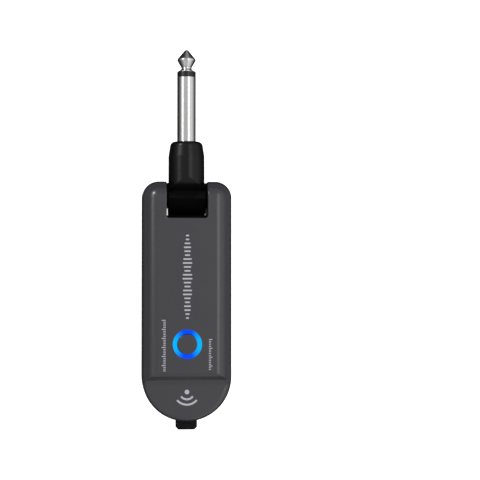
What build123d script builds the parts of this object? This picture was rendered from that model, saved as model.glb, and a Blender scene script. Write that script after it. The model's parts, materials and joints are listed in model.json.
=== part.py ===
from build123d import *
import math
import os

# Wireless guitar transmitter: a flat case, a swivelling boot that holds a 6.35 mm mono plug, a lit push
# button and a rubber charging-port cover. Millimetres. X to the right, Y along the plug, Z out of the
# front. The sizes below count Y from the hinge axis and Z from the back face; save() moves everything
# along Y so that the origin is at the middle of the overall box, on the resting plane.

# Case
CASE_WIDTH = 30.1
CASE_THICK = 16.0
SPLIT_Z = CASE_THICK / 2
CASE_TOP = 6.06
CHIN_CENTRE = -59.55
CORNER_R = 5.5
WALL = 1.5
SLOPE = 3.6
PANEL_EDGE_R = 4.4
RIM_EDGE_R = 2.6
BACK_EDGE_R = 2.2
CASE_END = CHIN_CENTRE - CASE_WIDTH / 2

# Step from the raised front panel down to the chin
STEP_TOP_Y = -58.7
STEP_RUN = 2.4
STEP_DROP = 2.6
STEP_EXTEND = 1.3
STEP_EDGE_R = 2.0
STEP_COVE_R = 2.0
STEP_FOOT_Y = STEP_TOP_Y - STEP_RUN
CHIN_TOP_Z = CASE_THICK - STEP_DROP
CHIN_FALL = 0.8
CHIN_EDGE_R = 2.0

# Notch that the boot swings in
NOTCH_HALF = 6.9
NOTCH_BOTTOM = -6.3
NOTCH_CORNER_R = 0.8
NOTCH_EDGE_R = 0.35

# Saddle along the notch's bottom
SADDLE_RISE = 2.9
SADDLE_R = 6.05

# Hinge
TRUNNION_R = 2.3
TRUNNION_CLEAR = 0.05
TRUNNION_END = 10.0
TRUNNION_BORE_R = 1.3
BEARING_R = 4.4
BEARING_END = 10.2
PAD_THICK = 0.6
PAD_HALF = 2.9
PAD_TOP = 5.6

# Boot
BARREL_R = 5.8
BARREL_HALF = 6.2
BOOT_R = 6.1
BOOT_TOP = 19.75
BOOT_TOP_R = 5.3
BOOT_TAPER = 5.0
BOOT_EDGE_R = 1.6
SHAFT_LOW = 1.0
GROOVE_CREST = (0.34, 5.8)
GROOVE_ROOT = (3.53, 2.3)
GROOVE_FLANK = (4.68, 4.2)
GROOVE_APEX = (7.35, BOOT_R)
SHELL_THICK = 0.8
CHAMBER_R = 4.3
CHAMBER_BOTTOM = 9.5
CHANNEL_X = 4.6
CHANNEL_Z = 1.3
CHANNEL_BOTTOM = -1.2
BOOT_SCREW_X = 3.4
BOOT_SCREW_Y = -2.2
BOOT_SHANK_R = 0.5
BOOT_HEAD_R = 0.9
BOOT_HEAD_SEAT = -2.8
BOOT_HEAD_THICK = 0.8
BOOT_SCREW_END = 2.6

# Plug
PLUG_LENGTH = 31.3
SLEEVE_R = 3.175
PLUG_SEAT_R = 3.0
SLEEVE_BORE_R = 2.05
TIP_LENGTH = 7.5
RING_LENGTH = 1.9
ROD_R = 1.1
FLANGE_R = 4.25
FLANGE_LOW = 14.6
FLANGE_HIGH = 16.4
SLEEVE_LOW = 12.6
LUG_THICK = 0.5
PLUG_TOP = BOOT_TOP + PLUG_LENGTH

# Light ring and button
BUTTON_Y = -48.5
RING_OUT_R = 4.9
RING_IN_R = 3.5
RING_FLANGE_R = 6.2
RING_FLANGE_Z = 13.7
RING_LEG_Z = 10.6
CAP_R = 3.35
CAP_BOTTOM_Z = 11.1
BUTTON_PROUD = 0.15

# Circuit board
BOARD_THICK = 1.0
BOARD_HALF = 12.2
BOARD_TOP_HALF = 8.7
BOARD_TOP_Y = -9.5
BOARD_SHOULDER_Y = -17.4
BOARD_LOW_Y = -62.5
BOARD_TAIL_HALF = 5.7
BOARD_END_Y = -71.6
BOARD_FRONT = SPLIT_Z + BOARD_THICK / 2
BOARD_BACK = SPLIT_Z - BOARD_THICK / 2
BOARD_SCREWS = [(-10.0, -20.5), (10.0, -54.5)]

# Battery
BATTERY_HALF = 10.0
BATTERY_TOP = -18.5
BATTERY_END = -56.5
PAD_Z = 0.4
BATTERY_THICK = 4.8

# Case screws, driven from the back
CASE_SCREWS = [(-11.0, -14.6), (11.0, -14.6), (-8.3, -66.3), (8.3, -66.3)]
POST_R = 2.3
SHANK_R = 0.8
HEAD_R = 1.5
HEAD_THICK = 1.0
HEAD_SEAT_Z = 2.2
SHANK_END_Z = 11.5
POST_BORE_END_Z = 12.0

# Charging port at the rounded end
PORT_WALL_IN = -72.2
RECESS_FLOOR = -73.5
RECESS_HALF = 4.7
RECESS_RISE = 3.2
MOUTH_HALF = 4.0
MOUTH_RISE = 1.6
USB_HALF = 3.75
USB_RISE = 1.3
USB_WALL = 0.3
USB_BACK = -67.4
USB_MOUTH = -72.3

# Rubber port cover
TAB_HALF = 3.6
TAB_REACH = 2.9
TAB_CUT = 0.9
TAB_RISE = 1.5
TAB_EDGE = 0.4
COVER_GAP = 0.1
BUNG_HALF = 3.2
BUNG_RISE = 0.8
BUNG_END = -71.6
STEM_Z = 10.3
STEM_R = 0.65
BARB_R = 0.9
STEM_END = -65.2
BARB_LENGTH = 0.9

# Wires
WIRE_R = 0.45
WIRE_MEET_X = 8.2

# Back label
LABEL_HALF = 9.0
LABEL_TOP = -20.0
LABEL_END = -52.0
LABEL_RECESS = 0.35
LABEL_THICK = 0.2
LABEL_CORNER_R = 1.2

# The overall length runs from the tab's end to the plug's tip.
ORIGIN_SHIFT = (TAB_REACH - CASE_END - PLUG_TOP) / 2


def block(x0, x1, y0, y1, z0, z1):
    """Box between two corners."""
    centre = Pos((x0 + x1) / 2, (y0 + y1) / 2, (z0 + z1) / 2)
    return centre * Box(abs(x1 - x0), abs(y1 - y0), abs(z1 - z0))


def post(x, y, z0, z1, radius):
    """Round post along Z."""
    return Pos(x, y, (z0 + z1) / 2) * Cylinder(radius, z1 - z0)


def axle(x0, x1, radius):
    """Cylinder on the hinge axis."""
    return Pos((x0 + x1) / 2, 0, SPLIT_Z) * Rot(0, 90, 0) * Cylinder(radius, abs(x1 - x0))


def turned(*outline):
    """Solid of revolution about the plug's axis, from (radius, y) points."""
    profile = make_face(Polyline(*outline, close=True))
    return Pos(0, 0, SPLIT_Z) * revolve(profile, Axis.Y)


def tube(outer, inner, y0, y1):
    """Ring about the plug's axis."""
    return turned((inner, y0), (outer, y0), (outer, y1), (inner, y1))


def wire(points, radius):
    """Insulated wire along straight runs and round bends."""
    path = FilletPolyline(*points, radius=radius)
    section = Plane(path @ 0, z_dir=path % 0) * Circle(WIRE_R)
    return sweep(section, path)


def mirrored(piece):
    """A piece and its mirror image across the case's middle plane."""
    return [piece, mirror(piece, Plane.YZ)]


def front_half(solid):
    """The part of a solid in front of the split plane."""
    return solid & block(-40, 40, -100, 100, SPLIT_Z, 40)


def back_half(solid):
    """The part of a solid behind the split plane."""
    return solid & block(-40, 40, -100, 100, -20, SPLIT_Z)


def case_outline(inset):
    """Plan of the case: straight sides, rounded top corners and a semicircular chin."""
    half = CASE_WIDTH / 2 - inset
    top = CASE_TOP - inset
    straight = Pos(0, (top + CHIN_CENTRE) / 2) * Rectangle(2 * half, top - CHIN_CENTRE)
    outline = straight + Pos(0, CHIN_CENTRE) * Circle(half)
    corners = outline.vertices().group_by(Axis.Y)[-1]
    return fillet(corners, CORNER_R - inset)


def across_case(outline):
    """Prism across the whole width from a closed outline in the YZ plane."""
    return extrude(Plane.YZ * make_face(outline), CASE_WIDTH, both=True)


def chin_z(y):
    """Height of the chin's surface, which falls gently towards the rounded end."""
    return CHIN_TOP_Z - CHIN_FALL * (STEP_FOOT_Y - y) / (STEP_FOOT_Y - CASE_END)


def tapered_block():
    """Front of the case with the panel's level and sloped sides all the way to the end."""
    body = Pos(0, 0, SPLIT_Z) * extrude(case_outline(0), CASE_THICK - SPLIT_Z)
    body = chamfer(body.faces().sort_by(Axis.Z)[-1].edges(), SLOPE)
    body = fillet(body.faces().sort_by(Axis.Z)[-1].edges(), PANEL_EDGE_R)
    rim = body.edges().filter_by(lambda e: abs(e.center().Z - (CASE_THICK - SLOPE)) < 0.01)
    return fillet(rim, RIM_EDGE_R)


def below_step():
    """Space that the raised panel leaves free past its lower end, with a rounded top edge."""
    low_y = STEP_TOP_Y - STEP_RUN * STEP_EXTEND
    low_z = CASE_THICK - STEP_DROP * STEP_EXTEND
    start = (STEP_TOP_Y + 4, CASE_THICK + 0.04)
    step = FilletPolyline(start, (STEP_TOP_Y, CASE_THICK), (low_y, low_z), radius=STEP_EDGE_R)
    rest = Polyline((low_y, low_z), (low_y, 0), (CASE_END - 2, 0), (CASE_END - 2, CASE_THICK + 2),
                    (STEP_TOP_Y + 4, CASE_THICK + 2), start)
    return across_case(step + rest)


def chin_block():
    """Lower end of the front with its rounded rim, reaching a little under the panel."""
    body = Pos(0, 0, SPLIT_Z) * extrude(case_outline(0), CASE_THICK - SPLIT_Z)
    root_y = STEP_TOP_Y + 2
    beyond = CASE_END - 2
    profile = Polyline((root_y, 0), (root_y, chin_z(root_y)), (beyond, chin_z(beyond)), (beyond, 0),
                       close=True)
    body &= across_case(profile)
    rim = [edge for edge in body.faces().sort_by(Axis.Z)[-1].edges() if edge.center().Y < root_y - 0.1]
    return fillet(rim, CHIN_EDGE_R)


def step_cove():
    """Hollow round between the step and the chin."""
    up = (STEP_FOOT_Y + STEP_RUN / 2, CHIN_TOP_Z + STEP_DROP / 2)
    foot = (STEP_FOOT_Y, CHIN_TOP_Z)
    out_y = STEP_FOOT_Y - STEP_RUN / 2
    out = (out_y, chin_z(out_y))
    hidden = (STEP_FOOT_Y + 0.6, CHIN_TOP_Z - 0.6)
    return across_case(FilletPolyline(up, foot, out, radius=STEP_COVE_R) + Polyline(out, hidden, up))


def front_block():
    """Solid front of the case before it is hollowed."""
    whole = tapered_block()
    return whole - below_step() + chin_block() + (step_cove() & whole)


def cavity_chin_cut():
    """What the cavity gives up above the chin, one wall under its surface."""
    roof = CASE_THICK - WALL
    inner_y = STEP_TOP_Y + WALL / 2
    slope = STEP_DROP / STEP_RUN
    beyond = CASE_END - 2
    profile = Polyline((inner_y + 1 / slope, roof + 1), (inner_y - STEP_RUN, roof - STEP_DROP),
                       (beyond, roof - STEP_DROP - CHIN_FALL), (beyond, roof + 1), close=True)
    return across_case(profile)


def front_cavity():
    """Hollow of the front cover, one wall inside its surface."""
    inner_slope = SLOPE - WALL * (2 - math.sqrt(2))
    hollow = Pos(0, 0, SPLIT_Z) * extrude(case_outline(WALL), CASE_THICK - WALL - SPLIT_Z)
    hollow = chamfer(hollow.faces().sort_by(Axis.Z)[-1].edges(), inner_slope)
    return hollow - cavity_chin_cut()


def back_block():
    """Solid back of the case before it is hollowed."""
    body = extrude(case_outline(0), SPLIT_Z)
    return fillet(body.faces().sort_by(Axis.Z)[0].edges(), BACK_EDGE_R)


def back_cavity():
    """Hollow of the back cover."""
    hollow = Pos(0, 0, WALL) * extrude(case_outline(WALL), SPLIT_Z - WALL)
    return fillet(hollow.faces().sort_by(Axis.Z)[0].edges(), BACK_EDGE_R - 1)


def notch(inset):
    """The U-shaped gap at the top of the case, grown by inset."""
    half = NOTCH_HALF + inset
    bottom = NOTCH_BOTTOM - inset
    top = CASE_TOP + 3
    plan = Pos(0, (bottom + top) / 2) * Rectangle(2 * half, top - bottom)
    plan = fillet(plan.vertices().group_by(Axis.Y)[0], NOTCH_CORNER_R)
    return Pos(0, 0, -1) * extrude(plan, CASE_THICK + 2)


def round_notch(cover, face_z):
    """Rounds the notch's edge on the outer face of a cover."""
    edges = [
        edge
        for edge in cover.edges()
        if abs(edge.center().Z - face_z) < 0.01
        and abs(edge.center().X) < NOTCH_HALF + 0.1
        and edge.center().Y > NOTCH_BOTTOM - 0.1
    ]
    return fillet(edges, NOTCH_EDGE_R)


def bearings():
    """Bosses that carry the boot's trunnions, inside the ears."""
    boss = axle(NOTCH_HALF, BEARING_END, BEARING_R)
    return boss + mirror(boss, Plane.YZ)


def bearing_bores():
    """Holes that the trunnions turn in."""
    return axle(-BEARING_END - 1, BEARING_END + 1, TRUNNION_R + TRUNNION_CLEAR)


def port_block(shell):
    """Thick wall round the charging port, cut to the outside of the case."""
    pad = block(-7, 7, CASE_END - 1, PORT_WALL_IN, 2, 13)
    return pad & shell


def port_openings():
    """Recess for the port cover, mouth of the socket and hole for the stem."""
    low = SPLIT_Z - RECESS_RISE
    high = SPLIT_Z + RECESS_RISE
    recess = block(-RECESS_HALF, RECESS_HALF, CASE_END - 5, RECESS_FLOOR, low, high)
    recess = fillet(recess.edges().filter_by(Axis.Y), 1.2)
    mouth = block(-MOUTH_HALF, MOUTH_HALF, RECESS_FLOOR - 1, PORT_WALL_IN + 1,
                  SPLIT_Z - MOUTH_RISE, SPLIT_Z + MOUTH_RISE)
    stem_hole = Pos(0, PORT_WALL_IN, STEM_Z) * Rot(90, 0, 0) * Cylinder(STEM_R + 0.1, 6)
    return recess + mouth + stem_hole


def front_cover():
    """Front of the case: raised panel, chin, notch, button hole and posts."""
    outer = front_block()
    cover = outer - front_cavity()
    cover += outer & notch(WALL)
    cover += port_block(outer)
    cover += front_half(bearings())
    for x, y in CASE_SCREWS:
        cover += outer & post(x, y, SPLIT_Z, CASE_THICK, POST_R)
    for x, y in BOARD_SCREWS:
        cover += post(x, y, BOARD_FRONT, CASE_THICK - WALL, POST_R - 0.4)
    cover -= notch(0)
    cover = round_notch(cover, CASE_THICK)
    cover -= bearing_bores()
    cover -= port_openings()
    cover -= post(0, BUTTON_Y, SPLIT_Z, CASE_THICK + 1, RING_OUT_R)
    for x, y in CASE_SCREWS:
        cover -= post(x, y, SPLIT_Z - 1, POST_BORE_END_Z, SHANK_R)
    for x, y in BOARD_SCREWS:
        cover -= post(x, y, SPLIT_Z, BOARD_FRONT + 3, 0.6)
    return cover


def back_cover():
    """Back of the case: tray with posts, bearing halves and a recess for the label."""
    outer = back_block()
    cover = outer - back_cavity()
    cover += outer & notch(WALL)
    cover += port_block(outer)
    cover += back_half(bearings())
    for x, y in CASE_SCREWS:
        cover += outer & post(x, y, 0, SPLIT_Z, POST_R)
    cover -= notch(0)
    cover = round_notch(cover, 0)
    cover -= bearing_bores()
    cover -= port_openings()
    for x, y in CASE_SCREWS:
        cover -= post(x, y, -1, HEAD_SEAT_Z, HEAD_R + 0.1)
        cover -= post(x, y, -1, SPLIT_Z + 1, SHANK_R + 0.1)
    return cover - label_plate(LABEL_RECESS, 0.15, 0)


def label_plate(thick, grow, low_z):
    """Rounded plate in the shape of the rating label."""
    plan = RectangleRounded(
        2 * (LABEL_HALF + grow), LABEL_TOP - LABEL_END + 2 * grow, LABEL_CORNER_R + grow
    )
    return Pos(0, (LABEL_TOP + LABEL_END) / 2, low_z) * extrude(plan, thick)


def rating_label():
    """Blank label in its recess, clear of the surface the case lies on."""
    return label_plate(LABEL_THICK, 0, LABEL_RECESS - LABEL_THICK)


def friction_pads():
    """Black pads on the notch's side walls that the barrel rubs between."""
    tongue = Pos(0, PAD_TOP / 2, 0) * Rectangle(2 * PAD_HALF, PAD_TOP) + Circle(PAD_HALF)
    tongue -= Circle(TRUNNION_R + TRUNNION_CLEAR)
    pad = Pos(NOTCH_HALF - PAD_THICK, 0, SPLIT_Z) * Rot(0, 90, 0) * extrude(tongue, PAD_THICK)
    return mirrored(pad)


def hinge_saddle():
    """Black strip along the notch's bottom, hollowed to clear the barrel."""
    strip = block(-NOTCH_HALF, NOTCH_HALF, NOTCH_BOTTOM, 0, SPLIT_Z - SADDLE_RISE, SPLIT_Z + SADDLE_RISE)
    return (strip & notch(0)) - axle(-NOTCH_HALF - 1, NOTCH_HALF + 1, SADDLE_R)


def case_screws():
    """Four pan-head screws from the back."""
    screws = []
    for x, y in CASE_SCREWS:
        head = post(x, y, HEAD_SEAT_Z - HEAD_THICK, HEAD_SEAT_Z, HEAD_R)
        shank = post(x, y, HEAD_SEAT_Z, SHANK_END_Z, SHANK_R)
        screws.append(head + shank - cross_recess(x, y, HEAD_SEAT_Z - HEAD_THICK))
    return screws


def cross_recess(x, y, z):
    """Crossed slots in a screw head that faces the back."""
    across = block(x - 0.8, x + 0.8, y - 0.17, y + 0.17, z - 0.1, z + 0.5)
    along = block(x - 0.17, x + 0.17, y - 0.8, y + 0.8, z - 0.1, z + 0.5)
    return across + along


def light_ring():
    """Translucent ring with a flange behind the panel and a skirt towards the lamps."""
    ring = post(0, BUTTON_Y, RING_LEG_Z, CASE_THICK + 0.05, RING_OUT_R - 0.02)
    ring += post(0, BUTTON_Y, RING_FLANGE_Z, CASE_THICK - WALL, RING_FLANGE_R)
    ring -= post(0, BUTTON_Y, SPLIT_Z, CASE_THICK + 1, RING_IN_R)
    top_edges = ring.edges().filter_by(GeomType.CIRCLE).group_by(Axis.Z)[-1]
    return fillet(top_edges, 0.2)


def button_cap():
    """Push button inside the ring, with a foot that reaches the switch."""
    top = CASE_THICK + BUTTON_PROUD
    cap = post(0, BUTTON_Y, top - 1.6, top, CAP_R)
    cap = fillet(cap.edges().group_by(Axis.Z)[-1], 0.3)
    return cap + post(0, BUTTON_Y, CAP_BOTTOM_Z, top - 1.6, 1.6)


def switch_plunger():
    """Plunger of the tact switch, which the button's foot rests on."""
    return post(0, BUTTON_Y, BOARD_FRONT + 1.8, CAP_BOTTOM_Z, 0.8)


def tact_switch_base():
    """Housing of the tact switch, hollow under the plunger."""
    base = block(-2.6, 2.6, BUTTON_Y - 2.6, BUTTON_Y + 2.6, BOARD_FRONT, BOARD_FRONT + 2.0)
    base = chamfer(base.edges().filter_by(Axis.Z), 0.5)
    return base - post(0, BUTTON_Y, BOARD_FRONT + 1.2, BOARD_FRONT + 3, 0.95)


def ring_leds():
    """Two lamps under the ring, at its left and right."""
    middle = (RING_OUT_R + RING_IN_R) / 2
    lamp = block(middle - 0.8, middle + 0.8, BUTTON_Y - 0.8, BUTTON_Y + 0.8,
                 BOARD_FRONT, BOARD_FRONT + 0.8)
    return mirrored(lamp)


def main_board():
    """Circuit board with a narrow tail between the chin's screw posts."""
    board = block(-BOARD_HALF, BOARD_HALF, BOARD_LOW_Y, BOARD_SHOULDER_Y, BOARD_BACK, BOARD_FRONT)
    board += block(-BOARD_TOP_HALF, BOARD_TOP_HALF, BOARD_SHOULDER_Y, BOARD_TOP_Y,
                   BOARD_BACK, BOARD_FRONT)
    board += block(-BOARD_TAIL_HALF, BOARD_TAIL_HALF, BOARD_END_Y, BOARD_LOW_Y,
                   BOARD_BACK, BOARD_FRONT)
    board -= block(-USB_HALF, USB_HALF, BOARD_END_Y - 1, USB_BACK, 0, CASE_THICK)
    for x, y in BOARD_SCREWS:
        board -= post(x, y, BOARD_BACK - 1, BOARD_FRONT + 1, 0.7)
    return board


def board_screws():
    """Two screws from behind that hold the board to the front cover."""
    screws = []
    for x, y in BOARD_SCREWS:
        head = post(x, y, BOARD_BACK - 0.7, BOARD_BACK, 1.25)
        shank = post(x, y, BOARD_BACK, BOARD_FRONT + 2.6, 0.6)
        screws.append(head + shank - cross_recess(x, y, BOARD_BACK - 0.7))
    return screws


def chip(x, y, width, length, height):
    """Component standing on the front of the board."""
    return block(x - width / 2, x + width / 2, y - length / 2, y + length / 2,
                 BOARD_FRONT, BOARD_FRONT + height)


def chip_row(x, y, count, pitch, width, length, height):
    """Row of equal small components along Y."""
    return [chip(x, y - pitch * i, width, length, height) for i in range(count)]


def rf_shield():
    """Metal can over the radio."""
    can = chip(0, -33, 13, 11, 2.2)
    can = fillet(can.edges().filter_by(Axis.Z), 0.5)
    return can - block(-6.25, 6.25, -38.25, -27.75, BOARD_FRONT, BOARD_FRONT + 1.95)


def radio_chip():
    """Radio chip under the can."""
    return chip(1, -33, 5, 5, 0.9)


def crystal():
    """Crystal of the radio, under the can."""
    return chip(-4.2, -33, 2.5, 3.2, 0.8)


def usb_shell():
    """Metal shell of the charging socket, let into the board."""
    shell = block(-USB_HALF, USB_HALF, USB_MOUTH, USB_BACK, SPLIT_Z - USB_RISE, SPLIT_Z + USB_RISE)
    shell = fillet(shell.edges().filter_by(Axis.Y), 0.5)
    inner = USB_HALF - USB_WALL
    rise = USB_RISE - USB_WALL
    return shell - block(-inner, inner, USB_MOUTH - 1, USB_BACK - USB_WALL, SPLIT_Z - rise, SPLIT_Z + rise)


def usb_tongue():
    """Contact tongue inside the charging socket."""
    tongue = block(-1.9, 1.9, -71.2, -69.2, SPLIT_Z - 0.3, SPLIT_Z + 0.3)
    inner = USB_HALF - USB_WALL
    rise = USB_RISE - USB_WALL
    return tongue + block(-inner, inner, -69.2, USB_BACK - USB_WALL, SPLIT_Z - rise, SPLIT_Z + rise)


def port_cover():
    """Rubber cover: plate in the recess, pull tab, bung in the socket and retaining stem."""
    low = SPLIT_Z - RECESS_RISE + COVER_GAP
    high = SPLIT_Z + RECESS_RISE - COVER_GAP
    half = RECESS_HALF - COVER_GAP
    plate = block(-half, half, CASE_END - 1, RECESS_FLOOR, low, high)
    plate = fillet(plate.edges().filter_by(Axis.Y), 1.1)
    plate &= Pos(0, CHIN_CENTRE, SPLIT_Z) * Cylinder(CASE_WIDTH / 2 - 0.05, CASE_THICK)
    return plate + pull_tab() + bung_and_stem()


def pull_tab():
    """Tab to pull the cover out by, with cut corners and chamfered edges."""
    end = CASE_END - TAB_REACH
    plan = Polyline(
        (-TAB_HALF, RECESS_FLOOR - 0.5),
        (-TAB_HALF, end + TAB_CUT),
        (-TAB_HALF + TAB_CUT, end),
        (TAB_HALF - TAB_CUT, end),
        (TAB_HALF, end + TAB_CUT),
        (TAB_HALF, RECESS_FLOOR - 0.5),
        close=True,
    )
    tab = Pos(0, 0, SPLIT_Z - TAB_RISE) * extrude(make_face(plan), 2 * TAB_RISE)
    long_edges = [
        edge
        for edge in tab.edges()
        if abs(abs(edge.center().Z - SPLIT_Z) - TAB_RISE) < 0.01 and edge.center().Y < RECESS_FLOOR - 0.6
    ]
    return chamfer(long_edges, TAB_EDGE)


def bung_and_stem():
    """Bung that fills the socket's mouth, and the stem that keeps the cover on the case."""
    bung = block(-BUNG_HALF, BUNG_HALF, RECESS_FLOOR, BUNG_END, SPLIT_Z - BUNG_RISE, SPLIT_Z + BUNG_RISE)
    length = STEM_END - RECESS_FLOOR
    stem = Pos(0, RECESS_FLOOR + length / 2, STEM_Z) * Rot(90, 0, 0) * Cylinder(STEM_R, length)
    barb = Pos(0, STEM_END - BARB_LENGTH / 2, STEM_Z) * Rot(90, 0, 0) * Cylinder(BARB_R, BARB_LENGTH)
    return bung + stem + barb


def boot_groove():
    """Groove across the boot's front, which clears the case when the plug is swung."""
    root, flank, apex = (Vector(y, SPLIT_Z + z) for y, z in (GROOVE_ROOT, GROOVE_FLANK, GROOVE_APEX))
    crest = Vector(GROOVE_CREST[0], SPLIT_Z + GROOVE_CREST[1])
    beyond = crest + (crest - root) / 2
    rest = Polyline(apex, (apex.X + 2, beyond.Y), beyond, root)
    return across_case(ThreePointArc(root, flank, apex) + rest)


def boot_solid():
    """Outside of the boot: round shaft, barrel and trunnions, with a groove on each face."""
    shaft = turned((0, SHAFT_LOW), (BOOT_R, SHAFT_LOW), (BOOT_R, BOOT_TOP - BOOT_TAPER),
                   (BOOT_TOP_R, BOOT_TOP), (0, BOOT_TOP))
    shaft = fillet(shaft.edges().group_by(Axis.Y)[-1], BOOT_EDGE_R)
    boot = shaft + axle(-BARREL_HALF, BARREL_HALF, BARREL_R)
    groove = boot_groove()
    boot -= groove
    boot -= mirror(groove, Plane.XY.offset(SPLIT_Z))
    return boot - barrel_shell() + axle(-TRUNNION_END, TRUNNION_END, TRUNNION_R)


def barrel_shell():
    """Half sleeve snapped over the barrel, which hides the boot's screws."""
    sleeve = axle(-BARREL_HALF, BARREL_HALF, BARREL_R)
    sleeve -= axle(-BARREL_HALF - 1, BARREL_HALF + 1, BARREL_R - SHELL_THICK)
    return sleeve & block(-BARREL_HALF, BARREL_HALF, -BARREL_R, GROOVE_CREST[0], 0, CASE_THICK)


def boot_hollow():
    """Space inside the boot: plug seat, solder chamber, wire channel and trunnion bore."""
    seat = turned((0, FLANGE_LOW), (PLUG_SEAT_R, FLANGE_LOW), (PLUG_SEAT_R, BOOT_TOP + 1), (0, BOOT_TOP + 1))
    chamber = turned((0, CHAMBER_BOTTOM), (CHAMBER_R, CHAMBER_BOTTOM),
                     (CHAMBER_R, FLANGE_HIGH), (0, FLANGE_HIGH))
    channel = block(-CHANNEL_X, CHANNEL_X, CHANNEL_BOTTOM, CHAMBER_BOTTOM + 1,
                    SPLIT_Z - CHANNEL_Z, SPLIT_Z + CHANNEL_Z)
    return seat + chamber + channel + axle(-TRUNNION_END - 1, TRUNNION_END + 1, TRUNNION_BORE_R)


def boot_front():
    """Front half of the boot, threaded for the two screws."""
    half = front_half(boot_solid()) - boot_hollow()
    for x in (-BOOT_SCREW_X, BOOT_SCREW_X):
        half -= post(x, BOOT_SCREW_Y, 0, SPLIT_Z + BOOT_SCREW_END, BOOT_SHANK_R)
    return half


def boot_back():
    """Back half of the boot, with counterbores for the two screws."""
    half = back_half(boot_solid()) - boot_hollow()
    for x in (-BOOT_SCREW_X, BOOT_SCREW_X):
        half -= post(x, BOOT_SCREW_Y, 0, SPLIT_Z + 1, BOOT_SHANK_R + 0.1)
        half -= post(x, BOOT_SCREW_Y, -1, SPLIT_Z + BOOT_HEAD_SEAT, BOOT_HEAD_R + 0.1)
    return half


def boot_screws():
    """Two screws that clamp the boot's halves round the plug."""
    seat = SPLIT_Z + BOOT_HEAD_SEAT
    screws = []
    for x in (-BOOT_SCREW_X, BOOT_SCREW_X):
        head = post(x, BOOT_SCREW_Y, seat - BOOT_HEAD_THICK, seat, BOOT_HEAD_R)
        shank = post(x, BOOT_SCREW_Y, seat, SPLIT_Z + BOOT_SCREW_END, BOOT_SHANK_R)
        screws.append(head + shank - cross_recess(x, BOOT_SCREW_Y, seat - BOOT_HEAD_THICK))
    return screws


def plug_sleeve():
    """Plated sleeve with the flange that the boot clamps."""
    high = PLUG_TOP - TIP_LENGTH - RING_LENGTH
    return turned(
        (SLEEVE_BORE_R, SLEEVE_LOW),
        (PLUG_SEAT_R, SLEEVE_LOW),
        (PLUG_SEAT_R, FLANGE_LOW),
        (FLANGE_R, FLANGE_LOW),
        (FLANGE_R, FLANGE_HIGH),
        (PLUG_SEAT_R, FLANGE_HIGH),
        (PLUG_SEAT_R, BOOT_TOP),
        (SLEEVE_R, BOOT_TOP),
        (SLEEVE_R, high),
        (SLEEVE_BORE_R, high),
    )


def plug_tip():
    """Plated tip with its detent groove, in one piece with the rod inside the sleeve."""
    nose = Polyline((0, PLUG_TOP), (0.35, PLUG_TOP), (0.75, PLUG_TOP - 0.3), (2.95, PLUG_TOP - 3.0))
    crown = ThreePointArc((2.95, PLUG_TOP - 3.0), (3.12, PLUG_TOP - 3.4), (3.0, PLUG_TOP - 3.9))
    flank = Polyline((3.0, PLUG_TOP - 3.9), (1.95, PLUG_TOP - 5.7))
    groove = ThreePointArc((1.95, PLUG_TOP - 5.7), (1.75, PLUG_TOP - 6.3), (2.0, PLUG_TOP - 6.8))
    skirt = Polyline((2.0, PLUG_TOP - 6.8), (2.9, PLUG_TOP - 7.35), (2.9, PLUG_TOP - TIP_LENGTH),
                     (ROD_R, PLUG_TOP - TIP_LENGTH), (ROD_R, SLEEVE_LOW - 2), (0, SLEEVE_LOW - 2),
                     (0, PLUG_TOP))
    profile = make_face(nose + crown + flank + groove + skirt)
    return Pos(0, 0, SPLIT_Z) * revolve(profile, Axis.Y)


def tip_insulator():
    """Ring between the tip and the sleeve."""
    high = PLUG_TOP - TIP_LENGTH
    return tube(SLEEVE_R, ROD_R, high - RING_LENGTH, high)


def rod_insulator():
    """Tube between the rod and the sleeve."""
    return tube(SLEEVE_BORE_R, ROD_R, SLEEVE_LOW, PLUG_TOP - TIP_LENGTH - RING_LENGTH)


def rear_insulator():
    """Washer behind the sleeve."""
    return tube(PLUG_SEAT_R - 0.1, ROD_R, SLEEVE_LOW - 1, SLEEVE_LOW)


def tip_lug():
    """Solder lug riveted on the end of the rod."""
    ring = tube(2.2, ROD_R, SLEEVE_LOW - 1 - LUG_THICK, SLEEVE_LOW - 1)
    return ring + block(1.3, 1.9, SLEEVE_LOW - 3.2, SLEEVE_LOW - 1 - LUG_THICK, SPLIT_Z - 0.8, SPLIT_Z + 0.8)


def sleeve_lug():
    """Solder lug behind the sleeve's flange."""
    ring = tube(FLANGE_R - 0.1, PLUG_SEAT_R, FLANGE_LOW - LUG_THICK, FLANGE_LOW)
    return ring + block(-4.0, -3.4, SLEEVE_LOW - 2.2, FLANGE_LOW - LUG_THICK, SPLIT_Z - 0.8, SPLIT_Z + 0.8)


def signal_wire_boot():
    """Wire from the tip's lug into the right trunnion."""
    x = 1.9 + WIRE_R
    return wire([(x, SLEEVE_LOW - 2, SPLIT_Z), (x, 0, SPLIT_Z), (WIRE_MEET_X, 0, SPLIT_Z)], 2.2)


def ground_wire_boot():
    """Wire from the sleeve's lug into the left trunnion."""
    x = -3.4 + WIRE_R
    return wire([(x, SLEEVE_LOW - 1, SPLIT_Z), (x, 0, SPLIT_Z), (-WIRE_MEET_X, 0, SPLIT_Z)], 2.2)


def case_wire(side):
    """Wire from a trunnion to the board, in the ear on one side."""
    rest_z = BOARD_FRONT + WIRE_R
    route = [
        (side * WIRE_MEET_X, 0, SPLIT_Z),
        (side * 11.6, 0, SPLIT_Z),
        (side * 11.6, -9.4, rest_z),
        (side * 5.5, -11.4, rest_z),
    ]
    return wire(route, 1.6)


def signal_wire_case():
    """Wire from the right trunnion to the board."""
    return case_wire(1)


def ground_wire_case():
    """Wire from the left trunnion to the board."""
    return case_wire(-1)


def battery_pad():
    """Adhesive foam between the battery and the back cover."""
    return block(-9, 9, BATTERY_END + 2, BATTERY_TOP - 2, WALL, WALL + PAD_Z)


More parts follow.
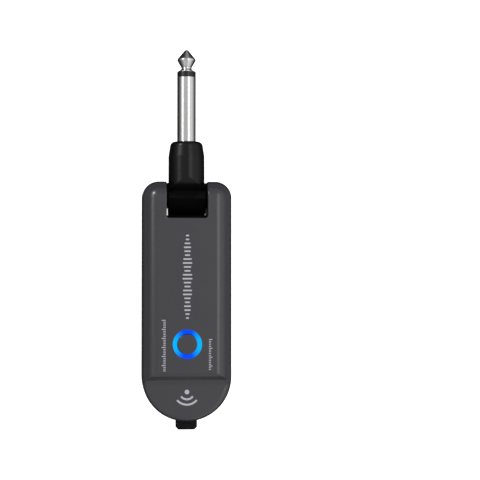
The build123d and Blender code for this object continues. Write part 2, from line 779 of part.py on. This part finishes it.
def battery_cell():
    """Lithium pouch cell."""
    low = WALL + PAD_Z
    cell = block(-BATTERY_HALF, BATTERY_HALF, BATTERY_END, BATTERY_TOP, low, low + BATTERY_THICK)
    return fillet(cell.edges().filter_by(Axis.Y), 1.6)


def battery_socket():
    """Two-pin socket on the back of the board."""
    return block(-2.6, 2.6, -13.0, -10.2, BOARD_BACK - 2.4, BOARD_BACK)


def battery_connector():
    """Plug of the battery leads, in front of its socket."""
    return block(-2.2, 2.2, -15.4, -13.0, BOARD_BACK - 2.1, BOARD_BACK - 0.3)


def battery_lead(x):
    """One battery lead, from the cell's end to the connector."""
    high = BOARD_BACK - 1.2
    low = WALL + PAD_Z + BATTERY_THICK / 2
    return wire([(x, -15.4, high), (x, -16.7, high), (x * 1.6, -17.2, low), (x * 1.6, BATTERY_TOP, low)], 0.5)


def battery_lead_plus():
    """Positive lead."""
    return battery_lead(1.1)


def battery_lead_minus():
    """Negative lead."""
    return battery_lead(-1.1)


def save(name, shape):
    """Writes one sub-part, moved so that the origin is under the middle of the overall box."""
    pieces = shape if isinstance(shape, list) else [shape]
    moved = [Pos(0, ORIGIN_SHIFT, 0) * solid for piece in pieces for solid in piece.solids()]
    export_step(moved[0] if len(moved) == 1 else Compound(moved), f"parts/{name}.step")


os.makedirs("parts", exist_ok=True)

save("front_cover", front_cover())
save("back_cover", back_cover())
save("rating_label", rating_label())
save("friction_pads", friction_pads())
save("hinge_saddle", hinge_saddle())
save("case_screws", case_screws())
save("light_ring", light_ring())
save("button_cap", button_cap())
save("switch_plunger", switch_plunger())
save("tact_switch_base", tact_switch_base())
save("ring_leds", ring_leds())
save("main_board", main_board())
save("board_screws", board_screws())
save("rf_shield", rf_shield())
save("radio_chip", radio_chip())
save("crystal", crystal())
save("audio_chip", chip(-6.5, -24.5, 4, 4, 0.9))
save("charger_chip", chip(3.2, -58.5, 3, 3, 0.9))
save("power_inductor", chip(-3.0, -58.5, 4, 4, 1.8))
save("chip_antenna", chip(8.6, -24.0, 2, 7, 1.1))
save("capacitors", chip_row(-9.6, -30, 5, 2.4, 1.6, 0.9, 0.9))
save("resistors", chip_row(9.6, -33, 5, 2.0, 1.0, 0.5, 0.4))
save("usb_shell", usb_shell())
save("usb_tongue", usb_tongue())
save("port_cover", port_cover())
save("battery_cell", battery_cell())
save("battery_pad", battery_pad())
save("battery_socket", battery_socket())
save("battery_connector", battery_connector())
save("battery_lead_plus", battery_lead_plus())
save("battery_lead_minus", battery_lead_minus())
save("boot_front", boot_front())
save("boot_back", boot_back())
save("barrel_shell", barrel_shell())
save("boot_screws", boot_screws())
save("plug_sleeve", plug_sleeve())
save("plug_tip", plug_tip())
save("tip_insulator", tip_insulator())
save("rod_insulator", rod_insulator())
save("rear_insulator", rear_insulator())
save("tip_lug", tip_lug())
save("sleeve_lug", sleeve_lug())
save("signal_wire_boot", signal_wire_boot())
save("ground_wire_boot", ground_wire_boot())
save("signal_wire_case", signal_wire_case())
save("ground_wire_case", ground_wire_case())
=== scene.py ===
import json
import math

import bmesh
import bpy
from mathutils import Matrix, Vector


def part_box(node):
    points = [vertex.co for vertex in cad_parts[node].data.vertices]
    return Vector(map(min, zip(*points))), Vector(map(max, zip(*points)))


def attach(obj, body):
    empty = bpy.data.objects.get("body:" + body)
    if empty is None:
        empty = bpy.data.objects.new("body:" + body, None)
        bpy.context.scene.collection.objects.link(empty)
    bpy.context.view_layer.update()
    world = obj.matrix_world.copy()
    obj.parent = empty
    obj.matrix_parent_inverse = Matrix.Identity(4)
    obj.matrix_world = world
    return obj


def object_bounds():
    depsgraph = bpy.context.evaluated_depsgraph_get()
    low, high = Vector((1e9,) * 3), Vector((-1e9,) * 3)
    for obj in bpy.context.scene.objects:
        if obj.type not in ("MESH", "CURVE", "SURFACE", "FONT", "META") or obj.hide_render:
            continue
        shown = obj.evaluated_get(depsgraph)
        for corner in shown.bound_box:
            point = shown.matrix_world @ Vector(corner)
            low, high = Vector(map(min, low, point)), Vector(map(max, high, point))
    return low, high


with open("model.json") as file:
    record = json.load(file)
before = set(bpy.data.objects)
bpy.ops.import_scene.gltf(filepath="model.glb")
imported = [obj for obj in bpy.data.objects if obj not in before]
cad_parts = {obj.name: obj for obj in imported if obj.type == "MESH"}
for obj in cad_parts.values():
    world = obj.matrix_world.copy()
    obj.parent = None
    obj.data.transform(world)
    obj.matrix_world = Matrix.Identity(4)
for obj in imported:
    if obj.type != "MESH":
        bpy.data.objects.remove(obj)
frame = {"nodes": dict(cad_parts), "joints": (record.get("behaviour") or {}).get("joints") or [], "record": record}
cad_low, cad_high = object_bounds()

MM = 0.001
CENTRE = (cad_low + cad_high) / 2


def hinge():
    """The swivel's joint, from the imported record."""
    return next(joint for joint in frame["joints"] if joint["name"] == "plug_swivel")


HINGE_Y = hinge()["pos_m"][1]

# ---------------------------------------------------------------- materials


def linear(red, green, blue):
    """Linear colour from 0-255 display values, by the sRGB curve."""

    def channel(value):
        share = value / 255
        return share / 12.92 if value < 10.3 else ((share + 0.055) / 1.055) ** 2.4

    return tuple(channel(value) for value in (red, green, blue))


def map_range(tree, source, from_range, to_range, interpolation="LINEAR"):
    """A number that runs over one range as the source runs over another."""
    node = tree.nodes.new("ShaderNodeMapRange")
    node.interpolation_type = interpolation
    for name, value in zip(("From Min", "From Max", "To Min", "To Max"), (*from_range, *to_range)):
        node.inputs[name].default_value = value
    tree.links.new(source, node.inputs["Value"])
    return node.outputs["Result"]


class Material:
    """A Principled material with a few helpers for its node tree."""

    def __init__(self, name):
        self.material = bpy.data.materials.new(name)
        self.material.use_nodes = True
        self.tree = self.material.node_tree
        self.shader = self.tree.nodes["Principled BSDF"]
        self.position = self.tree.nodes.new("ShaderNodeTexCoord").outputs["Object"]

    def set(self, **values):
        """Fixed values for the shader's own sockets."""
        for name, value in values.items():
            self.shader.inputs[name.replace("_", " ")].default_value = value
        return self

    def node(self, kind, **values):
        """New node, with values for its sockets or its settings."""
        node = self.tree.nodes.new(kind)
        for name, value in values.items():
            if name in node.inputs:
                node.inputs[name].default_value = value
            else:
                setattr(node, name, value)
        return node

    def link(self, source, target):
        """Joins an output to an input."""
        self.tree.links.new(source, target)

    def mapped(self, scale):
        """Object position multiplied by a scale for each axis."""
        node = self.node("ShaderNodeMapping")
        node.inputs["Scale"].default_value = scale
        self.link(self.position, node.inputs["Vector"])
        return node.outputs["Vector"]

    def noise(self, size, detail=2.0, stretch=(1, 1, 1)):
        """Noise whose features are about size metres across."""
        node = self.node("ShaderNodeTexNoise", Scale=1.0, Detail=detail)
        self.link(self.mapped(tuple(s / size for s in stretch)), node.inputs["Vector"])
        return node.outputs["Fac"]

    def between(self, factor, low, high, from_low=0.3, from_high=0.7):
        """A number that runs from low to high as the factor crosses its own range."""
        return map_range(self.tree, factor, (from_low, from_high), (low, high))

    def blend(self, factor, first, second):
        """Mix of two colours, or of colour outputs."""
        node = self.node("ShaderNodeMix", data_type="RGBA")
        for socket, colour in ((node.inputs[6], first), (node.inputs[7], second)):
            if isinstance(colour, tuple):
                socket.default_value = (*colour, 1)
            else:
                self.link(colour, socket)
        self.link(factor, node.inputs[0])
        return node.outputs[2]

    def colour(self, output):
        """Base colour from an output."""
        self.link(output, self.shader.inputs["Base Color"])
        return self

    def roughness(self, output):
        """Roughness from an output."""
        self.link(output, self.shader.inputs["Roughness"])
        return self

    def bump(self, height, depth):
        """Bump from a height output, depth metres deep, added to any bump already there."""
        node = self.node("ShaderNodeBump", Strength=1.0, Distance=depth)
        self.link(height, node.inputs["Height"])
        normal = self.shader.inputs["Normal"]
        if normal.is_linked:
            self.link(normal.links[0].from_socket, node.inputs["Normal"])
        self.link(node.outputs["Normal"], normal)
        return self


def painted_case():
    """Warm dark grey satin paint with a very fine orange peel and faint cloudiness."""
    m = Material("case_paint").set(Coat_Weight=0.4, Coat_Roughness=0.24, Specular_IOR_Level=0.5)
    cloud = m.noise(14 * MM, 3)
    flake = m.noise(0.12 * MM, 1)
    base = m.blend(m.between(cloud, 0, 1), linear(50, 48, 53), linear(53, 51, 56))
    m.colour(m.blend(m.between(flake, 0, 0.12, from_low=0.45, from_high=0.8), base, linear(84, 83, 88)))
    m.roughness(m.between(m.noise(2.5 * MM, 4), 0.28, 0.32))
    m.bump(m.noise(0.16 * MM, 2), 0.002 * MM)
    return m.bump(m.noise(0.9 * MM, 1), 0.004 * MM).material


def boot_plastic():
    """Satin black moulded plastic with a fine spark-eroded grain."""
    m = Material("boot_plastic").set(Specular_IOR_Level=0.27)
    m.colour(m.blend(m.between(m.noise(5 * MM, 3), 0, 1), linear(8, 8, 9), linear(11, 11, 12)))
    m.roughness(m.between(m.noise(1.2 * MM, 2), 0.28, 0.31))
    return m.bump(m.noise(0.2 * MM, 1), 0.0006 * MM).material


def barrel_plastic():
    """Dead matt black moulding of the barrel's shell, darker and duller than the boot's plastic: painted shade for
    the barrel's lower half down in the notch.
    """
    m = Material("barrel_plastic").set(Specular_IOR_Level=0.02)
    m.colour(m.blend(m.between(m.noise(3 * MM), 0, 1), linear(3, 3, 3), linear(5, 5, 5)))
    m.roughness(m.between(m.noise(0.8 * MM, 3), 0.5, 0.62))
    return m.bump(m.noise(0.12 * MM, 2), 0.006 * MM).material


def black_nylon():
    """Plain black moulding, near-black: where it lines the notch's walls and floor it is painted shade for the
    inside of the notch.
    """
    m = Material("black_nylon").set(Specular_IOR_Level=0.03)
    m.colour(m.blend(m.between(m.noise(3 * MM), 0, 1), linear(5, 5, 6), linear(8, 8, 9)))
    m.roughness(m.between(m.noise(0.8 * MM, 3), 0.42, 0.55))
    return m.bump(m.noise(0.2 * MM, 2), 0.005 * MM).material


def rubber():
    """Matt black silicone with a soft bloom and fine dust marks."""
    m = Material("rubber").set(Specular_IOR_Level=0.12)
    m.colour(m.blend(m.between(m.noise(2 * MM, 4), 0, 1), linear(12, 12, 14), linear(17, 17, 19)))
    m.roughness(m.between(m.noise(0.5 * MM, 3), 0.5, 0.66))
    return m.bump(m.noise(0.1 * MM, 2), 0.006 * MM).material


def nickel():
    """Polished nickel plate with faint lengthwise handling marks."""
    m = Material("nickel").set(Metallic=1.0)
    m.colour(m.blend(m.between(m.noise(7 * MM, 3), 0, 1), linear(214, 213, 211), linear(221, 220, 219)))
    marks = m.noise(0.6 * MM, 2, stretch=(1, 0.04, 1))
    return m.roughness(m.between(marks, 0.2, 0.21, from_low=0.35, from_high=0.75)).material


def gloss_black():
    """Glossy black insulator."""
    m = Material("insulator").set(Specular_IOR_Level=0.5)
    m.colour(m.blend(m.between(m.noise(1 * MM), 0, 1), linear(12, 12, 13), linear(18, 18, 19)))
    m.roughness(m.between(m.noise(0.6 * MM, 3), 0.25, 0.36))
    return m.bump(m.noise(0.05 * MM, 1, stretch=(0.02, 1, 0.02)), 0.002 * MM).material


def lit_ring():
    """Milky ring lit from two lamps below: cyan next to them and deep blue between."""
    m = Material("lit_ring").set(Emission_Strength=1.0, Specular_IOR_Level=0.05)
    low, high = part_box("light_ring")
    from_middle = m.node("ShaderNodeVectorMath", operation="SUBTRACT")
    flat = m.node("ShaderNodeVectorMath", operation="MULTIPLY")
    unit = m.node("ShaderNodeVectorMath", operation="NORMALIZE")
    parts = m.node("ShaderNodeSeparateXYZ")
    sideways = m.node("ShaderNodeMath", operation="ABSOLUTE")
    glow = m.node("ShaderNodeMath", operation="POWER")
    from_middle.inputs[1].default_value = (low + high) / 2
    flat.inputs[1].default_value = (1, 1, 0)
    glow.inputs[1].default_value = 1.3
    m.link(m.position, from_middle.inputs[0])
    m.link(from_middle.outputs[0], flat.inputs[0])
    m.link(flat.outputs[0], unit.inputs[0])
    m.link(unit.outputs[0], parts.inputs[0])
    m.link(parts.outputs["X"], sideways.inputs[0])
    m.link(m.between(sideways.outputs[0], 0, 1, from_low=0.3, from_high=0.95), glow.inputs[0])
    light = m.blend(glow.outputs[0], linear(0, 72, 248), linear(0, 180, 248))
    m.link(light, m.shader.inputs["Emission Color"])
    m.colour(m.blend(glow.outputs[0], linear(0, 20, 90), linear(0, 40, 90)))
    return m.roughness(m.between(m.noise(0.6 * MM, 2), 0.3, 0.4)).material


def printed_ink():
    """Pale grey pad-printed ink, slightly uneven."""
    m = Material("printed_ink")
    m.colour(m.blend(m.between(m.noise(0.7 * MM, 3), 0, 1), linear(180, 178, 188), linear(188, 186, 196)))
    m.roughness(m.between(m.noise(0.3 * MM, 2), 0.45, 0.55))
    return m.bump(m.noise(0.12 * MM, 2), 0.004 * MM).material


def plain(name, dark, light, rough, metallic=0.0, grain=0.4 * MM, depth=0.004 * MM):
    """Simple material with slight variation, for parts that are hidden or small."""
    m = Material(name).set(Metallic=metallic)
    m.colour(m.blend(m.between(m.noise(6 * grain, 3), 0, 1), linear(*dark), linear(*light)))
    m.roughness(m.between(m.noise(2 * grain, 3), rough * 0.9, rough * 1.1))
    return m.bump(m.noise(grain, 2), depth).material


MATERIALS = {
    "case": painted_case(),
    "boot_plastic": boot_plastic(),
    "barrel_plastic": barrel_plastic(),
    "black_nylon": black_nylon(),
    "rubber": rubber(),
    "nickel": nickel(),
    "lit_ring": lit_ring(),
    "white_nylon": plain("white_nylon", (214, 210, 200), (224, 221, 212), 0.5),
    "lamp": plain("lamp", (225, 228, 235), (238, 240, 245), 0.2),
    "label": plain("label", (38, 38, 40), (44, 44, 46), 0.35, 0, 0.2 * MM),
    "steel": plain("steel", (92, 91, 90), (112, 111, 110), 0.3, 1.0, 0.1 * MM, 0.002 * MM),
    "tinned_steel": plain("tinned_steel", (185, 186, 188), (202, 203, 205), 0.32, 1.0, 0.3 * MM, 0.002 * MM),
    "brass": plain("brass", (196, 168, 104), (210, 184, 120), 0.28, 1.0, 0.2 * MM, 0.002 * MM),
    "circuit_board": plain("circuit_board", (16, 62, 40), (22, 74, 48), 0.35, 0, 0.8 * MM),
    "chip": plain("chip", (28, 28, 30), (36, 36, 38), 0.55, 0, 0.15 * MM),
    "ceramic": plain("ceramic", (186, 160, 128), (200, 176, 144), 0.5),
    "foil": plain("foil", (176, 178, 182), (198, 200, 204), 0.4, 1.0, 0.6 * MM, 0.02 * MM),
    "foam": plain("foam", (30, 30, 32), (44, 44, 46), 0.9, 0, 0.3 * MM, 0.05 * MM),
    "red_wire": plain("red_wire", (150, 24, 22), (168, 30, 28), 0.35),
    "black_wire": plain("black_wire", (18, 18, 18), (26, 26, 26), 0.35),
    "white_wire": plain("white_wire", (205, 203, 198), (218, 216, 211), 0.35),
}
INSULATOR = gloss_black()
INK = printed_ink()


def dress_nodes():
    """Gives every CAD node its slot's material."""
    slots = {part["node"]: part["material_slot"] for part in frame["record"]["subparts"]}
    for name, obj in frame["nodes"].items():
        material = INSULATOR if name == "tip_insulator" else MATERIALS[slots[name]]
        for slot in obj.material_slots:
            slot.material = material


dress_nodes()

# ---------------------------------------------------------------- printed marks

PRINT_HEIGHT = 0.02 * MM
PRINT_SUNK = 0.01 * MM
PANEL_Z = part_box("front_cover")[1].z

# Places along the object are from the swivel's axis, negative towards the case's rounded end.
WAVE_TOP = -11.6 * MM
WAVE_BOTTOM = -40.4 * MM
WAVE_BARS = 22
WAVE_SHORTEST = 0.35
WAVE_SWELL = 1.35
BAR_HALF_HEIGHT = 0.26 * MM
BAR_RADIUS = 0.25 * MM

TICK_HALF_HEIGHT = 0.13 * MM
TICK_RADIUS = 0.12 * MM
LONG_TICK_EVERY = 5
SHORT_TICK = 0.62

RADIO_Y = -64.55 * MM
RADIO_DOT_RADIUS = 0.78 * MM
RADIO_ARC_RADII = (2.45 * MM, 4.25 * MM)
RADIO_HALF_STROKE = 0.33 * MM
RADIO_HALF_SPAN = math.radians(47)

CORNER_STEPS = 5
CAP_STEPS = 8
ARC_STEPS = 28
DOT_STEPS = 32


def on_circle(centre, radius, angle):
    """Point of a circle."""
    return centre[0] + radius * math.cos(angle), centre[1] + radius * math.sin(angle)


def arc_points(centre, radius, first, last, steps):
    """Points along an arc from one angle to another, both ends included."""
    return [on_circle(centre, radius, first + (last - first) * i / steps) for i in range(steps + 1)]


def rounded_bar(centre_x, centre_y, half_x, half_y, radius):
    """Outline of a rectangle with round corners."""
    points = []
    for corner, (side_x, side_y) in enumerate(((1, 1), (-1, 1), (-1, -1), (1, -1))):
        middle = (centre_x + side_x * (half_x - radius), centre_y + side_y * (half_y - radius))
        first = math.pi / 2 * corner
        points += arc_points(middle, radius, first, first + math.pi / 2, CORNER_STEPS)
    return points


def slab(bm, outline, low_z, high_z):
    """Closed prism from a counter-clockwise outline, between two heights that are functions of (x, y)."""
    low = [bm.verts.new((x, y, low_z(x, y))) for x, y in outline]
    high = [bm.verts.new((x, y, high_z(x, y))) for x, y in outline]
    bm.faces.new(low[::-1])
    bm.faces.new(high)
    for i, vertex in enumerate(low):
        following = (i + 1) % len(low)
        bm.faces.new((vertex, low[following], high[following], high[i]))


def panel_slab(bm, outline):
    """Print on the flat front panel."""
    slab(bm, outline, lambda x, y: PANEL_Z - PRINT_SUNK, lambda x, y: PANEL_Z + PRINT_HEIGHT)


def finish_print(bm, name):
    """Turns printed outlines into a piece on the case."""
    mesh = bpy.data.meshes.new(name)
    bmesh.ops.recalc_face_normals(bm, faces=bm.faces)
    bm.to_mesh(mesh)
    bm.free()
    mesh.materials.append(INK)
    piece = bpy.data.objects.new(name, mesh)
    bpy.context.scene.collection.objects.link(piece)
    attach(piece, "case")


def wave_mark():
    """Row of bars of changing length, like a sound wave, along the panel."""
    bm = bmesh.new()
    for i in range(WAVE_BARS):
        share = (i + 0.5) / WAVE_BARS
        y = HINGE_Y + WAVE_TOP + (WAVE_BOTTOM - WAVE_TOP) * share
        envelope = math.sin(math.pi * share) ** 0.6
        ripple = 0.35 + 0.65 * abs(math.sin(2.35 * i + 0.6))
        half_length = (WAVE_SHORTEST + WAVE_SWELL * envelope * ripple) * MM
        panel_slab(bm, rounded_bar(0, y, half_length, BAR_HALF_HEIGHT, BAR_RADIUS))
    finish_print(bm, "wave_mark")


def tick_row(name, x, half_width, top, bottom, count):
    """Column of small dashes beside the button, every fifth one long. Sizes are in millimetres."""
    bm = bmesh.new()
    pitch = (top - bottom) / count
    side = math.copysign(1, x)
    for i in range(count):
        y = HINGE_Y + (top - pitch * (i + 0.5)) * MM
        half = half_width * (1.0 if i % LONG_TICK_EVERY == 0 else SHORT_TICK) * MM
        middle = x * MM - side * (half_width * MM - half)
        panel_slab(bm, rounded_bar(middle, y, half, TICK_HALF_HEIGHT, TICK_RADIUS))
    finish_print(bm, name)


def surface_height(obj):
    """Height of a CAD node's surface at a place, by a ray from above."""
    evaluated = obj.evaluated_get(bpy.context.evaluated_depsgraph_get())
    down = Vector((0, 0, -1))
    return lambda x, y: evaluated.ray_cast(Vector((x, y, 1)), down)[1].z


def arc_band(centre, radius):
    """Outline of a round-ended arc about a point, on the side away from the swivel."""
    half = RADIO_HALF_STROKE
    first = -math.pi / 2 - RADIO_HALF_SPAN
    last = -math.pi / 2 + RADIO_HALF_SPAN
    last_end = on_circle(centre, radius, last)
    first_end = on_circle(centre, radius, first)
    outline = arc_points(centre, radius + half, first, last, ARC_STEPS)
    outline += arc_points(last_end, half, last, last + math.pi, CAP_STEPS)[1:-1]
    outline += arc_points(centre, radius - half, last, first, ARC_STEPS)
    outline += arc_points(first_end, half, first + math.pi, first + 2 * math.pi, CAP_STEPS)[1:-1]
    return outline


def radio_mark():
    """Dot with two arcs below it on the chin, the common sign for radio waves."""
    chin = surface_height(frame["nodes"]["front_cover"])
    centre = (0, HINGE_Y + RADIO_Y)
    bm = bmesh.new()
    outlines = [arc_points(centre, RADIO_DOT_RADIUS, 0, 2 * math.pi, DOT_STEPS)[:-1]]
    outlines += [arc_band(centre, radius) for radius in RADIO_ARC_RADII]
    for outline in outlines:
        slab(bm, outline, lambda x, y: chin(x, y) - PRINT_HEIGHT, lambda x, y: chin(x, y) + PRINT_HEIGHT)
    finish_print(bm, "radio_mark")


wave_mark()
tick_row("left_ticks", x=-7.9, half_width=0.7, top=-40.2, bottom=-57.6, count=29)
tick_row("right_ticks", x=7.75, half_width=0.6, top=-46.6, bottom=-57.2, count=18)
radio_mark()

# ---------------------------------------------------------------- stage, light and camera

FLOOR_SIZE = 6
FLOOR_GAP = 0.02 * MM
WHITE = (1, 1, 1, 1)


def make_floor():
    """Large pale floor just under the resting plane."""
    bpy.ops.mesh.primitive_plane_add(size=FLOOR_SIZE, location=(0, 0, cad_low.z - FLOOR_GAP))
    floor = bpy.context.active_object
    floor.name = "floor"
    m = Material("floor").set(Roughness=0.6, Emission_Color=WHITE, Emission_Strength=1.0)
    m.colour(m.blend(m.between(m.noise(0.2, 2), 0, 1), (0.93, 0.93, 0.93), (0.95, 0.95, 0.95)))
    floor.data.materials.append(m.material)
    floor.visible_glossy = False
    floor.visible_diffuse = False


def make_backdrop():
    """White dome round the floor, which only the camera sees."""
    bpy.ops.mesh.primitive_uv_sphere_add(radius=FLOOR_SIZE / 2, segments=64, ring_count=32,
                                         location=(0, 0, cad_low.z))
    dome = bpy.context.active_object
    dome.name = "backdrop"
    m = Material("backdrop").set(Base_Color=(0.95, 0.95, 0.95, 1), Roughness=0.6, Specular_IOR_Level=0.0)
    m.set(Emission_Color=WHITE, Emission_Strength=1.0)
    dome.data.materials.append(m.material)
    dome.visible_glossy = False
    dome.visible_diffuse = False
    dome.visible_transmission = False
    dome.visible_shadow = False


def aim(obj, place, target):
    """Puts an object at a place, pointing its -Z axis at the target with the plug's direction upwards."""
    back = (Vector(place) - Vector(target)).normalized()
    right = Vector((0, 1, 0)).cross(back).normalized()
    axes = Matrix((right, back.cross(right), back)).transposed()
    obj.location = place
    obj.rotation_mode = "QUATERNION"
    obj.rotation_quaternion = axes.to_quaternion()


def area_light(name, place, width, length, watts):
    """White softbox aimed at the object's middle, its length along the object."""
    data = bpy.data.lights.new(name, "AREA")
    data.shape = "RECTANGLE"
    data.size = width
    data.size_y = length
    data.energy = watts
    light = bpy.data.objects.new(name, data)
    bpy.context.scene.collection.objects.link(light)
    aim(light, place, CENTRE)


SOFTBOX_DISTANCE = 0.45


def beside(degrees, along):
    """Place of a softbox, tilted from straight above towards +X, and moved along the object."""
    angle = math.radians(degrees)
    return CENTRE + Vector((math.sin(angle) * SOFTBOX_DISTANCE, along, math.cos(angle) * SOFTBOX_DISTANCE))


# The dome's brightness. Angles are degrees from straight above, negative to the left. Each fade goes from
# dark to full brightness.
DOME_LEVEL = 0.55
DOME_BELOW = 0.03
DOME_LEFT_FADE = (-115, -45)
DOME_RIGHT_FADE = (130, 65)
DOME_TINT = (0.98, 0.985, 1.0)
# Strips of light on the dome, along the object: middle, half width and added brightness.
STRIPS = ((-45, 14, 0.2), (33, 20, 0.45), (62, 35, 0.33))
# The dome dims towards the plug's end, between these values of the direction's Y.
DIM_BETWEEN = (0.25, 0.95)
DIM_SHARES = (1.02, 0.55)


def calculate(tree, operation, first, second):
    """Result of a Math node on outputs or numbers."""
    node = tree.nodes.new("ShaderNodeMath")
    node.operation = operation
    for socket, value in zip(node.inputs, (first, second)):
        if isinstance(value, float):
            socket.default_value = value
        else:
            tree.links.new(value, socket)
    return node.outputs[0]


def fade(tree, angle, degrees, level):
    """Brightness that rises smoothly from none to a level between two angles."""
    return map_range(tree, angle, [math.radians(d) for d in degrees], (0, level), "SMOOTHSTEP")


def strip(tree, angle, middle, half_width, level):
    """Brightness of a strip, full at its middle and none past its half width."""
    off_middle = calculate(tree, "SUBTRACT", angle, math.radians(middle))
    return fade(tree, calculate(tree, "ABSOLUTE", off_middle, 0.0), (half_width, 0), level)


def make_sky():
    """Studio dome with strips of light, dark below and dimmer towards the plug's end."""
    world = bpy.data.worlds.new("studio")
    bpy.context.scene.world = world
    world.use_nodes = True
    tree = world.node_tree
    split = tree.nodes.new("ShaderNodeSeparateXYZ")
    tree.links.new(tree.nodes.new("ShaderNodeTexCoord").outputs["Generated"], split.inputs[0])
    angle = calculate(tree, "ARCTAN2", split.outputs["X"], split.outputs["Z"])
    left = fade(tree, angle, DOME_LEFT_FADE, 1.0)
    right = fade(tree, angle, DOME_RIGHT_FADE, DOME_LEVEL)
    level = calculate(tree, "ADD", calculate(tree, "MULTIPLY", left, right), DOME_BELOW)
    for middle, half_width, added in STRIPS:
        level = calculate(tree, "ADD", level, strip(tree, angle, middle, half_width, added))
    dim = map_range(tree, split.outputs["Y"], DIM_BETWEEN, DIM_SHARES)
    background = tree.nodes["Background"]
    background.inputs["Color"].default_value = (*DOME_TINT, 1)
    tree.links.new(calculate(tree, "MULTIPLY", level, dim), background.inputs["Strength"])


def make_lights():
    """Dome, with softboxes from the left and the right and a small lamp off the upper left corner."""
    make_sky()
    area_light("left_box", beside(-52, 0.16), width=0.12, length=0.3, watts=0.26)
    area_light("right_box", beside(24, 0.05), width=0.1, length=0.5, watts=0.3)
    area_light("corner_box", CENTRE + Vector((-0.28, 0.28, 0.235)), width=0.06, length=0.06, watts=0.6)


# The lens, its sensor and the target are in millimetres.
LENS = 110
SENSOR = 36
DISTANCE = 498.7 * MM
OFF_LEFT = math.radians(4.9)
OFF_LOW = math.radians(1.5)
CAMERA_TARGET = (18.25, -0.28, 8)


def make_camera():
    """Long lens straight above the front face, a little to the left, with the object left of centre."""
    data = bpy.data.cameras.new("camera")
    data.lens = LENS
    data.sensor_width = SENSOR
    camera = bpy.data.objects.new("camera", data)
    bpy.context.scene.collection.objects.link(camera)
    target = Vector(CAMERA_TARGET) * MM
    back = Vector((-math.tan(OFF_LEFT), -math.tan(OFF_LOW), 1)).normalized()
    aim(camera, target + back * DISTANCE, target)
    bpy.context.scene.camera = camera


make_floor()
make_backdrop()
make_lights()
make_camera()
bpy.context.scene.view_settings.view_transform = "Standard"
